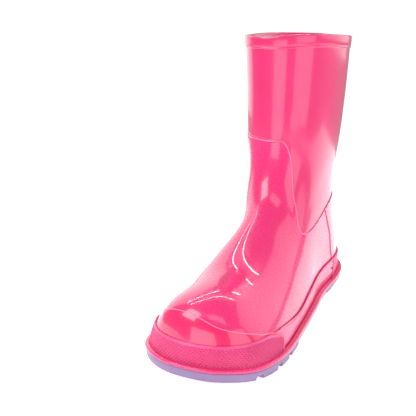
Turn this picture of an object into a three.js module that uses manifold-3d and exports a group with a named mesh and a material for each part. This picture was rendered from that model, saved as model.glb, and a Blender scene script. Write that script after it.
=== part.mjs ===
// A child's rubber rain boot (left foot), laid up from separate rubber, textile and board pieces.
// Millimetres. +Z up, ground at z = 0, toe towards -Y, heel towards +Y, outer side of the foot +X.
import * as THREE from "three";
import Module from "manifold-3d";

const { Manifold, CrossSection } = await manifoldModule();

// ---------------------------------------------------------------- driving sizes
const toeY = -101.5;               // front end of the upper at the sole
const ballY = -58;                 // widest place of the forefoot
const ballHalfOuter = 36.3;        // outer half width of the upper at the ball
const ballHalfInner = 35.4;        // inner half width of the upper at the ball
const waistHalfOuter = 31.3;       // outer half width at the arch
const waistHalfInner = 23.5;       // inner half width at the arch
const toeBoxHeight = 43.5;         // top of the toe above the ground
const bootHeight = 175.6;          // highest point of the rim
const featherZ = 8;                // height at which the upper meets the sole
const gap = 0.3;                   // air left between neighbouring pieces
const rubber = 2.2;                // wall of the upper
const puffWall = 0.7;              // toe and heel stiffeners
const liningWall = 0.8;            // knitted lining
const foxingWall = 1.2;            // strips laid over the bottom of the upper
const bandWall = 1.0;              // strip round the rim
const bandHeight = 8.2;            // height of the rim strip
const liningDrop = 2.4;            // the lining ends this far under the rim
const beadReach = 2.7;             // width of the welt bead
const beadHeight = 1.9;             // height of the welt bead
const outsoleZ = 6.9;               // top of the outsole
const plateZ = 4.9;                // underside of the outsole's plate, at the waist
const heelLift = 2.9;              // how much thicker the sole is under the heel than under the ball
const lugInsetFore = 0.5;           // how far the forefoot lugs stay inside the edge of the outsole
const lugInsetHeel = 3.0;          // the same under the heel
const toeLift = 2.7;                // how much higher the upper's edge is at the toe than at the waist
const backLift = 0.6;               // the same at the back of the heel
const toeSpring = 1.2;             // rise of the outsole's front edge off the ground
const grooveWidth = 3.0;            // width of the grooves across the tread
const notchRise = 1.0;              // how far the forefoot grooves cut up into the plate
const foreGrooves = [-87, -70, -55];
const heelGrooves = [62, 74, 86];
const heelStandY = 70;             // middle of the heel's tread
const fillerWall = 0.5;             // filler between outsole and insole board
const boardWall = 1.8;             // insole board
const foamWall = 4.0;              // removable footbed
const coverWall = 0.8;             // textile on the footbed
const footbedPlay = 2.4;           // side play of the footbed inside the lining
const sectionRound = 2.0;          // roundness of the foot sections
const legRound = 2.3;              // roundness of the leg sections
const ankleBlend = 7;              // softness where leg and foot meet

// ---------------------------------------------------------------- lattice of the outer surface
const half = 22;                   // columns from the toe to the back of the heel, each side
const columns = 2 * half;
const capEnd = 5;                  // column where the toe cap ends
const bumperEnd = 6;               // column where the toe bumper ends
const stayStart = 16;              // column of the heel stay seam
const footRows = 7;                // rows of cells between the cap line and the overlay line
const legRows = 5;                 // rows of cells between the overlay line and the rim strip
const rowFox = 2;
const rowCap = 3;
const rowLine = rowCap + footRows;
const rowBand = rowLine + legRows;
const rowRim = rowBand + 1;
const toeTurn = -0.07;             // the toe points slightly to the inner side (radians)

async function manifoldModule() {
  const wasm = await Module();
  wasm.setup();
  return wasm;
}

/** Smooth curve through pairs [position, value]. */
function curve(points) {
  const at = points.map((p) => p[0]);
  const values = points.map((p) => p[1]);
  const track = new THREE.CubicInterpolant(at, values, 1);
  return (s) => track.evaluate(Math.min(Math.max(s, at[0]), at[at.length - 1]))[0];
}

const mix = THREE.MathUtils.lerp;
const ease = THREE.MathUtils.smoothstep;

// ---------------------------------------------------------------- form of the boot
const ridgeHeight = curve([
  [toeY, 0.5], [toeY + 1, 14], [toeY + 3, 24], [toeY + 9, toeBoxHeight - 6], [toeY + 18, toeBoxHeight - 0.6],
  [toeY + 30, toeBoxHeight + 0.2], [toeY + 42, toeBoxHeight + 2], [toeY + 60, toeBoxHeight + 7.5],
  [toeY + 80, toeBoxHeight + 18.5], [toeY + 100, toeBoxHeight + 34], [toeY + 122, 112], [toeY + 162, 168],
]);
const halfOuter = curve([
  [toeY, 3], [toeY + 1.2, 11], [toeY + 5, 20], [toeY + 12, 0.81 * ballHalfOuter], [toeY + 24, 0.955 * ballHalfOuter],
  [ballY, ballHalfOuter], [ballY + 24, ballHalfOuter - 2.2], [ballY + 50, waistHalfOuter],
  [ballY + 73, waistHalfOuter - 2.8], [ballY + 98, waistHalfOuter - 5], [ballY + 118, waistHalfOuter - 6.3],
]);
const halfInner = curve([
  [toeY, 3], [toeY + 1.2, 11], [toeY + 5, 19.5], [toeY + 12, 0.815 * ballHalfInner], [toeY + 24, 0.97 * ballHalfInner],
  [ballY, ballHalfInner], [ballY + 24, ballHalfInner - 3.4], [ballY + 50, waistHalfInner],
  [ballY + 73, waistHalfInner - 0.4], [ballY + 98, waistHalfInner + 0.4], [ballY + 118, waistHalfInner + 1],
]);
const backY = curve([[0, 100], [8, 104], [20, 104], [35, 98.5], [50, 92.5], [65, 88.6], [80, 89.3], [105, 95],
  [130, 100], [155, 102], [bootHeight, 101.6]]);
const legFrontY = curve([[0, 2], [60, 2.9], [95, 8.9], [115, 8.6], [140, 10.1], [bootHeight, 10.4]]);
const legHalf = curve([[0, 26], [20, 26], [40, 25.6], [80, 24.4], [110, 26.9], [140, 28.7], [bootHeight, 30.8]]);
// rise of the line where the upper meets the sole
const spring = curve([[toeY - 5, toeLift], [toeY, toeLift], [toeY + 16, 0.6 * toeLift], [toeY + 36, 0.22 * toeLift],
  [toeY + 60, 0], [50, 0.2 * backLift], [104, backLift], [110, backLift]]);
const centreY = curve([[0, 0], [40, 5], [70, 25], [100, 45], [140, 51], [bootHeight, 51]]);

/** Signed measure of the boot's outside: negative inside, zero on the surface. */
function boot(x, y, z) {
  const footY = Math.min(Math.max(y, toeY + 0.05), 60);
  const wide = (x > 0 ? halfOuter : halfInner)(footY);
  const tall = Math.max(ridgeHeight(footY) - 2, 0.5);
  const across = Math.pow(Math.abs(x) / wide, sectionRound);
  const upward = Math.pow(Math.max(z - 2, 0) / tall, sectionRound);
  const heelFade = 0.004 * Math.pow(Math.max(y - 10, 0), 2);
  const foot = (Math.pow(across + upward, 1 / sectionRound) - 1) * Math.min(wide, 25) + heelFade;
  const front = legFrontY(z);
  const back = backY(z);
  const reach = (back - front) / 2;
  const legWide = legHalf(z);
  const ovalX = Math.pow(Math.abs(x) / legWide, legRound);
  const ovalY = Math.pow(Math.abs(y - (front + back) / 2) / reach, legRound);
  const leg = (Math.pow(ovalX + ovalY, 1 / legRound) - 1) * legWide;
  const share = Math.min(Math.max(0.5 + 0.5 * (leg - foot) / ankleBlend, 0), 1);
  return mix(leg, foot, share) - ankleBlend * share * (1 - share) * 0.9;
}

/** Point of the surface on the ray from an inside point through another point. */
function hit(from, through) {
  const way = through.clone().sub(from).normalize();
  let near = 2;
  let far = 150;
  for (let k = 0; k < 36; k += 1) {
    const middle = (near + far) / 2;
    const p = from.clone().addScaledVector(way, middle);
    if (boot(p.x, p.y, p.z) < 0) near = middle;
    else far = middle;
  }
  return from.clone().addScaledVector(way, (near + far) / 2);
}

/** Surface point at a height, in a direction measured from the toe towards the outer side. */
function around(angle, z) {
  const from = new THREE.Vector3(0, centreY(z), z);
  return hit(from, new THREE.Vector3(Math.sin(angle), centreY(z) - Math.cos(angle), z));
}

/** Directions of the columns at the sole, spaced by length along the outline. */
function soleAngles() {
  const steps = 720;
  const outline = [];
  for (let k = 0; k <= steps; k += 1) outline.push(around(toeTurn + (2 * Math.PI * k) / steps, featherZ));
  const run = [0];
  for (let k = 1; k <= steps; k += 1) run.push(run[k - 1] + outline[k].distanceTo(outline[k - 1]));
  const heel = steps / 2;
  const total = run[steps];
  const spacing = [[0, 0], [capEnd, 50], [bumperEnd, 61], [stayStart, 175]];
  const outerSide = curve([...spacing, [half, run[heel]]]);
  const innerSide = curve([...spacing, [half, total - run[heel]]]);
  const angles = [];
  for (let j = 0; j < columns; j += 1) {
    const length = j <= half ? outerSide(j) : total - innerSide(columns - j);
    let k = 1;
    while (k < steps && run[k] < length) k += 1;
    const part = (length - run[k - 1]) / (run[k] - run[k - 1]);
    angles.push(toeTurn + (2 * Math.PI * (k - 1 + part)) / steps);
  }
  return angles;
}

// heights of the rows, by column counted from the toe
const foxTop = curve([[0, 22.3], [4, 21.8], [7, 19], [10, 16.2], [13, 20], [16, 22.3], [half, 21.5]]);
const capTop = curve([[0, 35.8], [0.7, 35.2], [1.4, 32.4], [2.2, 30], [3, 28], [4, 24.8], [capEnd, 22.9],
  [7, 23], [10, 22.5], [13, 27], [17, 30], [half, 29]]);
const overlayLine = curve([[0, 111], [1.3, 110.6], [2, 106], [2.8, 94], [3.4, 87], [4.3, 78.5], [5.4, 73],
  [6.6, 67], [8, 61], [10, 55.3], [12, 53.8], [14, 57], [16, 62], [18, 66.5], [half, 69]]);
// the same line on the inner side, where its flat top reaches further back
const overlayInner = curve([[0, 111], [1.5, 111.4], [4, 112], [6, 111.2], [7.2, 107], [8.4, 100], [9.6, 92],
  [10.8, 83.5], [12, 75.5], [13.2, 69], [14.6, 64.2], [16, 63], [18, 66.5], [half, 69]]);
// drop of the rim below its highest point, by column: positive on the outer side
const rimDrop = curve([[-half, 0.9], [-20, 0.3], [-18, 0], [-16, 0], [-12, 0.4], [-10, 0.8], [-6, 1], [-4, 1.1],
  [-2, 2.1], [-1, 2.2], [0, 1.6], [2, 0.9], [4, 0.6], [6, 0.7], [8, 1], [12, 1.6], [18, 2.4], [20, 2], [half, 0.9]]);
const bandLine = curve([[0, bootHeight - bandHeight - 1.2], [5, bootHeight - bandHeight],
  [11, bootHeight - bandHeight - 1.1], [half, bootHeight - bandHeight - 2.1]]);

/** Outer surface of the upper as rows of points, row 0 at the sole, last row at the rim. */
function surface() {
  const sole = soleAngles();
  const rows = Array.from({ length: rowRim + 1 }, () => []);
  for (let j = 0; j < columns; j += 1) {
    const side = j <= half ? j : columns - j;
    const legAngle = (2 * Math.PI * j) / columns;
    const place = (z) => around(mix(sole[j], legAngle, ease(z, 10, 100)), z);
    const fox = place(foxTop(side));
    const cap = place(capTop(side));
    const line = place((j <= half ? overlayLine : overlayInner)(side));
    const band = place(bandLine(side));
    const feather = featherZ + spring(place(featherZ).y);
    rows[0][j] = place(feather);
    rows[1][j] = place(mix(feather, foxTop(side), 0.5));
    rows[rowFox][j] = fox;
    rows[rowCap][j] = cap;
    const forward = Math.pow(Math.max(Math.cos(legAngle), 0), 2);
    const bend = cap.clone().lerp(line, 0.5).add(new THREE.Vector3(0, 24, -22).multiplyScalar(forward));
    const path = new THREE.QuadraticBezierCurve3(cap, bend, line);
    for (let k = 1; k < footRows; k += 1) {
      const part = k / footRows;
      const from = new THREE.Vector3(0, mix(-60, 45, part), mix(16, 80, part));
      rows[rowCap + k][j] = hit(from, path.getPoint(part));
    }
    rows[rowLine][j] = line;
    for (let k = 1; k < legRows; k += 1) {
      const height = mix(line.z, band.z, k / legRows);
      rows[rowLine + k][j] = place(height);
    }
    rows[rowBand][j] = band;
    rows[rowRim][j] = place(bootHeight - rimDrop(signed(j)));
  }
  return rows;
}

const skin = surface();
const wrap = (j) => ((j % columns) + columns) % columns;

/** Outward normal of the lattice at one of its points. */
function normalAt(i, j) {
  const up = skin[Math.min(i + 1, rowRim)][j].clone().sub(skin[Math.max(i - 1, 0)][j]);
  const along = skin[i][wrap(j + 1)].clone().sub(skin[i][wrap(j - 1)]);
  const n = along.cross(up).normalize();
  if (i === 0) n.setZ(0).normalize();
  return n;
}
const normals = skin.map((row, i) => row.map((point, j) => normalAt(i, j)));

/** A closed wall over the chosen cells of the lattice, between two depths along the normals. */
function panel(chosen, innerDepth, outerDepth, drop = 0) {
  const inside = (i, j) => i >= 0 && i < rowRim && chosen(i, signed(wrap(j)));
  const corners = new Map();
  const points = [];
  const faces = [];
  const corner = (i, j) => {
    const key = i * columns + wrap(j);
    if (!corners.has(key)) {
      corners.set(key, points.length / 3);
      const pull = retreat(inside, i, wrap(j));
      const n = normals[i][wrap(j)];
      for (const depth of [innerDepth, outerDepth]) {
        const reach = typeof depth === "number" ? depth : depth(i, signed(wrap(j)));
        const p = skin[i][wrap(j)].clone().add(pull).addScaledVector(n, reach);
        if (i === rowRim) p.z -= drop;
        points.push(p.x, p.y, p.z);
      }
    }
    return corners.get(key);
  };
  for (let i = 0; i < rowRim; i += 1) {
    for (let j = 0; j < columns; j += 1) {
      if (!inside(i, j)) continue;
      const [a, b, c, d] = [corner(i, j), corner(i, j + 1), corner(i + 1, j + 1), corner(i + 1, j)];
      faces.push(a + 1, b + 1, c + 1, a + 1, c + 1, d + 1, a, c, b, a, d, c);
      if (!inside(i - 1, j)) faces.push(a, b, b + 1, a, b + 1, a + 1);
      if (!inside(i, j + 1)) faces.push(b, c, c + 1, b, c + 1, b + 1);
      if (!inside(i + 1, j)) faces.push(c, d, d + 1, c, d + 1, c + 1);
      if (!inside(i, j - 1)) faces.push(d, a, a + 1, d, a + 1, d + 1);
    }
  }
  return closed(points, faces);
}

/** Column number counted from the toe: positive on the outer side, negative on the inner side. */
function signed(j) {
  return j < half ? j : j - columns;
}

/** How far a point on the edge of a panel steps back into it, to leave the gap to its neighbour. */
function retreat(inside, i, j) {
  const filled = [[0, 0], [0, -1], [-1, 0], [-1, -1]].filter(([di, dj]) => inside(i + di, j + dj));
  const atEnd = i === 0 || i === rowRim;
  if (filled.length === 4 || (atEnd && filled.length === 2)) return new THREE.Vector3();
  const step = new THREE.Vector3();
  for (const [di, dj] of filled) {
    step.add(skin[i + 2 * di + 1][wrap(j + 2 * dj + 1)].clone().sub(skin[i][j]).normalize());
  }
  const along = skin[i][wrap(j + 1)].clone().sub(skin[i][wrap(j - 1)]).normalize();
  const upward = skin[Math.min(i + 1, rowRim)][j].clone().sub(skin[Math.max(i - 1, 0)][j]).normalize();
  const straight = filled.length === 2 && !atEnd;
  const level = straight && filled[0][0] === filled[1][0];
  if (atEnd) step.projectOnVector(along);
  else if (straight) step.addScaledVector(level ? along : upward, -step.dot(level ? along : upward));
  step.addScaledVector(normals[i][j], -step.dot(normals[i][j]));
  return step.normalize().multiplyScalar(gap * (straight || atEnd ? 0.55 : 0.8));
}

/** Geometry from flat arrays of points and triangle corners. */
function closed(points, faces) {
  const geometry = new THREE.BufferGeometry();
  geometry.setAttribute("position", new THREE.Float32BufferAttribute(points, 3));
  geometry.setIndex(faces);
  geometry.computeVertexNormals();
  return geometry;
}

// ---------------------------------------------------------------- outlines at the sole
/** The upper's outline at a row, moved outward by a distance, as plan points. */
function outline(reach, row = 0) {
  return skin[row].map((p, j) => {
    const n = normals[row][j].clone().setZ(0).normalize();
    return [p.x + n.x * reach, p.y + n.y * reach];
  });
}

/** Flat plate with the outline of the sole. */
function plate(reach, from, to) {
  return CrossSection.ofPolygons([outline(reach)]).extrude(to - from).translate([0, 0, from]);
}

/** Plate whose upper face, or the whole of it, follows the rising line of the upper's edge. */
function sprung(reach, from, to, whole = true) {
  const rise = (v) => {
    if (whole || v[2] > (from + to) / 2) v[2] += spring(v[1]);
  };
  return plate(reach, from, to).refineToLength(12).warp(rise);
}

/** A three.js geometry from a solid. */
function geometryOf(solid) {
  const mesh = solid.getMesh();
  return closed(Array.from(mesh.vertProperties), Array.from(mesh.triVerts));
}

/** Ring of rectangular section with broken outer corners, following the sole's outline. */
function bead() {
  const inner = foxingWall + 2 * gap;
  const low = outsoleZ + gap;
  const section = [
    [inner, low], [inner + 0.72 * beadReach, low], [inner + beadReach, low + 0.3 * beadHeight],
    [inner + beadReach, low + 0.7 * beadHeight], [inner + 0.72 * beadReach, low + beadHeight],
    [inner, low + beadHeight],
  ];
  const points = [];
  const faces = [];
  const rises = skin[0].map((p) => p.z - featherZ);
  section.forEach(([reach, z]) => outline(reach).forEach(([x, y], j) => points.push(x, y, z + rises[j])));
  for (let s = 0; s < section.length; s += 1) {
    const next = (s + 1) % section.length;
    for (let j = 0; j < columns; j += 1) {
      const [a, b] = [s * columns + j, s * columns + wrap(j + 1)];
      const [c, d] = [next * columns + wrap(j + 1), next * columns + j];
      faces.push(a, b, c, a, c, d);
    }
  }
  return closed(points, faces);
}

// ---------------------------------------------------------------- outsole
const soleReach = foxingWall + 2 * gap + beadReach - 0.6;

// the sole is thicker at the heel, so the boot leans forward by this angle (radians)
const pitch = Math.atan2(heelLift, heelStandY - ballY + 15);

/** Lugs of one tread field: the outline cut to a stretch of the length and grooved across. */
function treadField(inset, fromY, toY, grooves) {
  const field = plate(soleReach - inset, -1, plateZ + 0.2);
  let lugs = field.intersect(Manifold.cube([120, toY - fromY, 20]).translate([-60, fromY, -2]));
  for (const y of grooves) {
    const groove = Manifold.cube([120, grooveWidth, 20]).translate([-60, y - grooveWidth / 2, plateZ - 20]);
    lugs = lugs.subtract(groove);
  }
  return lugs;
}

/** Plate with lugs under the forefoot and the heel, standing on a ground that rises towards the toe. */
function outsole() {
  const base = sprung(soleReach, plateZ, outsoleZ, false);
  const forefoot = treadField(lugInsetFore, -120, -38, foreGrooves);
  const heel = treadField(lugInsetHeel, 50, 120, heelGrooves);
  const channel = Manifold.cube([3.2, 62, 20]).translate([-1.6, -99, plateZ - 20]);
  const ground = [0, Math.sin(pitch), Math.cos(pitch)];
  const rake = pitch + Math.atan2(toeSpring, 26);
  const raised = [0, Math.sin(rake), Math.cos(rake)];
  const bendY = toeY + 24;
  const bendZ = Math.tan(pitch) * (heelStandY - bendY);
  const treads = forefoot.subtract(channel).add(heel)
    .trimByPlane(ground, ground[1] * heelStandY)
    .trimByPlane(raised, raised[1] * bendY + raised[2] * bendZ);
  const notches = Manifold.union(foreGrooves.map((y) => (
    Manifold.cube([120, grooveWidth, 20]).translate([-60, y - grooveWidth / 2, plateZ + notchRise - 20]))));
  return geometryOf(base.add(treads).subtract(notches));
}

// ---------------------------------------------------------------- pieces
const pink = { color: 0xe8205f, roughness: 0.16, metalness: 0 };
const mattePink = { color: 0xdc2a66, roughness: 0.45, metalness: 0 };
const lilac = { color: 0xa184b4, roughness: 0.5, metalness: 0 };
const white = { color: 0xf1eeee, roughness: 0.95, metalness: 0 };
const board = { color: 0xb9a58a, roughness: 0.9, metalness: 0 };
const foam = { color: 0xd9d4dc, roughness: 0.9, metalness: 0 };
const grey = { color: 0x8b8790, roughness: 0.85, metalness: 0 };

const group = new THREE.Group();
group.name = "rain_boot";

function add(name, geometry, look) {
  const mesh = new THREE.Mesh(geometry, new THREE.MeshStandardMaterial(look));
  mesh.name = name;
  group.add(mesh);
}

const abs = Math.abs;
const behindStay = (j) => j >= stayStart || j < -stayStart;
const withinCap = (j) => j >= -capEnd && j < capEnd;
const withinBumper = (j) => j >= -bumperEnd && j < bumperEnd;
const puffRows = rowCap + 2;
const puffEnd = capEnd + 2;
const counterRows = rowCap + 3;
const counterStart = stayStart - 2;
const inPuff = (i, j) => i < puffRows && j >= -puffEnd && j < puffEnd;
const inCounter = (i, j) => i < counterRows && (j >= counterStart || j < -counterStart);
const stiffened = (i, j) => (i <= puffRows + 1 && abs(j) <= puffEnd + 1)
  || (i <= counterRows + 1 && abs(j) >= counterStart - 1);
const liningOuter = (i, j) => -(rubber + gap + (stiffened(i, j) ? puffWall + gap : 0));
const liningInner = (i, j) => liningOuter(i, j) - liningWall;

add("shaft", panel((i) => i >= rowLine, -rubber, 0), pink);
add("vamp", panel((i, j) => i < rowLine && !behindStay(j) && !(i < rowCap && withinCap(j)), -rubber, 0), pink);
add("toe_cap", panel((i, j) => i < rowCap && withinCap(j), -rubber, 0), pink);
add("heel_stay", panel((i, j) => i < rowLine && behindStay(j), -rubber, 0), pink);
add("toe_bumper", panel((i, j) => i < rowFox && withinBumper(j), gap, gap + foxingWall), mattePink);
const outerSide = (i, j) => i < rowFox && j >= bumperEnd && j < stayStart;
const innerSide = (i, j) => i < rowFox && j < -bumperEnd && j >= -stayStart;
add("foxing_outer", panel(outerSide, gap, gap + foxingWall), pink);
add("foxing_inner", panel(innerSide, gap, gap + foxingWall), pink);
add("foxing_heel", panel((i, j) => i < rowFox && behindStay(j), gap, gap + foxingWall), mattePink);
add("rim_band", panel((i) => i >= rowBand, gap, gap + bandWall), pink);
add("welt_bead", bead(), pink);
add("outsole", outsole(), lilac);
add("toe_puff", panel(inPuff, -rubber - gap - puffWall, -rubber - gap), grey);
add("heel_counter", panel(inCounter, -rubber - gap - puffWall, -rubber - gap), grey);
add("lining", panel(() => true, liningInner, liningOuter, liningDrop), white);
const liningReach = rubber + 2 * gap + puffWall + liningWall;
const fillerZ = outsoleZ + gap;
add("sole_filler", geometryOf(sprung(-0.6, fillerZ, fillerZ + fillerWall)), grey);
const boardZ = fillerZ + fillerWall + gap;
add("insole_board", geometryOf(sprung(-liningReach - 1, boardZ, boardZ + boardWall)), board);
const foamZ = boardZ + boardWall + gap;
add("footbed_foam", geometryOf(sprung(-liningReach - footbedPlay, foamZ, foamZ + foamWall)), foam);
const coverZ = foamZ + foamWall + gap;
add("footbed_cover", geometryOf(sprung(-liningReach - footbedPlay - 0.7, coverZ, coverZ + coverWall)), white);

// stand the boot on its treads and centre it
group.children.forEach((mesh) => mesh.geometry.rotateX(pitch));
const box = new THREE.Box3().setFromObject(group);
const middle = box.getCenter(new THREE.Vector3());
group.children.forEach((mesh) => mesh.geometry.translate(-middle.x, -middle.y, -box.min.z));

export default group;
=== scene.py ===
"""Child's rubber rain boot: its finished surfaces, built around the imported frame."""

import logging
import math
from collections import defaultdict
from dataclasses import dataclass, field
from enum import Enum
from typing import Callable

import bpy
import numpy as np
from mathutils.kdtree import KDTree
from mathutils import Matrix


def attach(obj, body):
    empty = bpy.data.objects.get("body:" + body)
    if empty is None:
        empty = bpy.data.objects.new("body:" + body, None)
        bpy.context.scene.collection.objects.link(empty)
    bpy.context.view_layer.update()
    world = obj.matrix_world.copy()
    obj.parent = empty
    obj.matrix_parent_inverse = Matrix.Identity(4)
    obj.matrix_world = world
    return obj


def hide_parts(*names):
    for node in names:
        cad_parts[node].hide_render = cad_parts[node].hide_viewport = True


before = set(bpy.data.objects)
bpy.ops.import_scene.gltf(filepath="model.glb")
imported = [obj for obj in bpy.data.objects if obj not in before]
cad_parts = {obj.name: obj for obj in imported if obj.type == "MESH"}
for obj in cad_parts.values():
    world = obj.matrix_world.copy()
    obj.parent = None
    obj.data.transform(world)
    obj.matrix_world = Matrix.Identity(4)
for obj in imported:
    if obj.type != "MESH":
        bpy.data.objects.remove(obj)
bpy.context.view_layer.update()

log = logging.getLogger("boot")
MM = 0.001
COLUMNS = 44          # columns of the upper's net, from the toe round the outer side and back
STAY = 16             # column of the heel stay's seam, at the sole
ROW_FOXING = 2        # rows of the net: top of the foxing
ROW_CAP = 3           # top of the toe cap
ROW_OVERLAY = 10      # line where the foot piece laps the leg
ROW_BAND = 15         # lower edge of the rim strip
ROW_RIM = 16          # rim
PARTS = 4             # parts of a row in the smooth surface
PITCH = 0.0202769408  # lean of the upper over the sole, in radians
EDGE_ANGLE = 50       # edges sharper than this are rounded, in degrees
LIT_CREST = "lit_crest"       # attribute that is 1 on the knurl's raised diamonds, which stay lit; 0 in its grooves, which get painted shade
Mapping = Callable[[np.ndarray, np.ndarray], np.ndarray]
Line = Callable[[np.ndarray], np.ndarray]


class Body(Enum):
    """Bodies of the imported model."""

    BOOT = "boot"
    FOOTBED = "footbed"


class Slot(Enum):
    """Material slots of the record."""

    GLOSS = "gloss_rubber"
    MATTE = "matte_rubber"
    SOLE = "sole_rubber"
    STIFFENER = "stiffener"
    KNIT = "knit"
    BOARD = "board"
    FOAM = "foam"


def ramp(values: np.ndarray, start: float, end: float) -> np.ndarray:
    """Smooth step from 0 at start to 1 at end."""
    part = np.clip((values - start) / (end - start), 0, 1)
    return part * part * (3 - 2 * part)


def away(columns: np.ndarray) -> np.ndarray:
    """Columns counted from the toe on either side, 0 to half the round."""
    turned = np.mod(columns, COLUMNS)
    return np.minimum(turned, COLUMNS - turned)


def tilt(points: np.ndarray, angle: float) -> np.ndarray:
    """Points turned about the X axis.

    Args:
        points: one point per row.
        angle: turn in radians.

    Returns:
        The turned points.
    """
    c, s = math.cos(angle), math.sin(angle)
    x, y, z = points[..., 0], points[..., 1], points[..., 2]
    return np.stack([x, y * c - z * s, y * s + z * c], -1)


# ------------------------------------------------------------------ form of the boot
@dataclass
class Last:
    """Smooth outside of the upper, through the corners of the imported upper's cells.

    It works in the upper's own frame, where the sole's edge is level. A place on it is a column
    and a row of the net, and a depth outward in millimetres.
    """

    merge: float = 0.6 * MM
    net: np.ndarray = field(init=False)
    control: np.ndarray = field(init=False)

    def __post_init__(self) -> None:
        """Reads the net and solves for the control points of the surface."""
        self.net = self._walk(*self._corners())
        fine = np.stack([self._refine(self.net[:, j]) for j in range(COLUMNS)], 1)
        rows = len(fine)
        across = np.zeros((COLUMNS, COLUMNS))
        for j in range(COLUMNS):
            across[j, j] = 4 / 6
            across[j, (j + 1) % COLUMNS] = across[j, j - 1] = 1 / 6
        upward = np.zeros((rows, rows))
        upward[0, 0] = upward[-1, -1] = 1
        for i in range(1, rows - 1):
            upward[i, i - 1:i + 2] = 1 / 6, 4 / 6, 1 / 6
        inner = np.linalg.solve(upward, fine.reshape(rows, -1)).reshape(fine.shape)
        inner = np.einsum("jk,ikd->ijd", np.linalg.inv(across), inner)
        self.control = np.concatenate(
            [2 * inner[:1] - inner[1:2], inner, 2 * inner[-1:] - inner[-2:-1]])

    @staticmethod
    def _refine(line: np.ndarray) -> np.ndarray:
        """One column of the net with more rows, on a smooth curve through its points.

        Args:
            line: the column's points, from the sole up.

        Returns:
            Points at every part of a row.
        """
        run = np.concatenate([[0], np.cumsum(np.linalg.norm(np.diff(line, axis=0), axis=1))])
        gap = np.diff(run)
        slope = np.diff(line, axis=0) / gap[:, None]
        count = len(line)
        system = np.eye(count)
        known = np.zeros_like(line)
        for i in range(1, count - 1):
            system[i, i - 1:i + 2] = gap[i - 1], 2 * (gap[i - 1] + gap[i]), gap[i]
            known[i] = 6 * (slope[i] - slope[i - 1])
        bend = np.linalg.solve(system, known)
        speed = np.concatenate([[gap[0]], 2 * gap[1:] * gap[:-1] / (gap[1:] + gap[:-1]), [gap[-1]]])
        marks = np.linspace(0, count - 1, (count - 1) * PARTS + 1)
        i = np.minimum(marks.astype(int), count - 2)
        part = marks - i
        length = (run[i] * (1 + 2 * part) * (1 - part) ** 2 + run[i + 1] * (3 - 2 * part) * part ** 2
                  + speed[i] * part * (1 - part) ** 2 - speed[i + 1] * part ** 2 * (1 - part))
        back, on = (run[i + 1] - length)[:, None], (length - run[i])[:, None]
        wide = gap[i][:, None]
        return ((bend[i] * back ** 3 + bend[i + 1] * on ** 3) / (6 * wide)
                + (line[i] / wide - bend[i] * wide / 6) * back
                + (line[i + 1] / wide - bend[i + 1] * wide / 6) * on)

    def _corners(self) -> tuple[np.ndarray, np.ndarray]:
        """Corner points of the upper's cells, and the faces between them."""
        triangles = []
        for name in ("shaft", "vamp", "toe_cap", "heel_stay"):
            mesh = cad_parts[name].data
            places = np.zeros(len(mesh.vertices) * 3)
            mesh.vertices.foreach_get("co", places)
            mesh.calc_loop_triangles()
            ends = np.zeros(len(mesh.loop_triangles) * 3, int)
            mesh.loop_triangles.foreach_get("vertices", ends)
            triangles.append(tilt(places.reshape(-1, 3), -PITCH)[ends])
        places = np.concatenate(triangles)
        tree = KDTree(len(places))
        for k, point in enumerate(places):
            tree.insert(point, k)
        tree.balance()
        label = -np.ones(len(places), int)
        corners = []
        for k in range(len(places)):
            if label[k] < 0:
                near = [n for _, n, _ in tree.find_range(places[k], self.merge) if label[n] < 0]
                label[near] = len(corners)
                corners.append(np.unique(np.round(places[near], 7), axis=0).mean(0))
        faces = label.reshape(-1, 3)
        whole = (faces[:, 0] != faces[:, 1]) & (faces[:, 1] != faces[:, 2]) & (faces[:, 0] != faces[:, 2])
        return np.array(corners), faces[whole]

    @staticmethod
    def _walk(points: np.ndarray, faces: np.ndarray) -> np.ndarray:
        """Orders the outside corners into rows and columns, from the sole up and from the toe round.

        Args:
            points: the corner points.
            faces: three corners per face.

        Returns:
            Points by row and column.
        """
        normals = np.cross(points[faces[:, 1]] - points[faces[:, 0]],
                           points[faces[:, 2]] - points[faces[:, 0]])
        normals /= np.linalg.norm(normals, axis=1)[:, None]
        sides = defaultdict(list)
        for k, face in enumerate(faces):
            for a, b in ((0, 1), (1, 2), (2, 0)):
                sides[frozenset((face[a], face[b]))].append((k, face[3 - a - b]))
        low = points[:, 2] < points[:, 2].min() + 8 * MM
        follow, below = {}, {}
        for side, found in sides.items():
            a, b = tuple(side)
            if not (low[a] and low[b] and any(normals[k][2] < -0.7 for k, _ in found)):
                continue
            for k, third in found:
                middle = (points[a] + points[b]) / 2
                outward = np.array([middle[0], middle[1] - np.clip(middle[1], -0.07, 0.075)])
                if normals[k][2] > -0.7 and normals[k][:2] @ outward > 0.5 * np.linalg.norm(outward):
                    face = list(faces[k])
                    at = face.index(third)
                    follow[face[(at + 1) % 3]] = face[(at + 2) % 3]
                    below[side] = k
        row = [min(follow, key=lambda k: points[k][1])]
        while follow[row[-1]] != row[0]:
            row.append(follow[row[-1]])
        rows, seen = [row], set(row)
        facing = [normals[below[frozenset((row[j], row[(j + 1) % COLUMNS]))]] for j in range(COLUMNS)]
        while True:
            row, following = rows[-1], {}
            for j in range(COLUMNS):
                options = [(normals[k] @ facing[j], k, third)
                           for k, third in sides[frozenset((row[j], row[(j + 1) % COLUMNS]))]
                           if third not in seen]
                options = [o for o in options if o[0] > 0.35]
                if options:
                    following[j] = max(options)
            if len(following) < COLUMNS:
                return points[np.array(rows)]
            rows.append([following[(j - 1) % COLUMNS][2] for j in range(COLUMNS)])
            facing = [normals[following[j][1]] for j in range(COLUMNS)]
            seen |= set(rows[-1])

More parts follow.
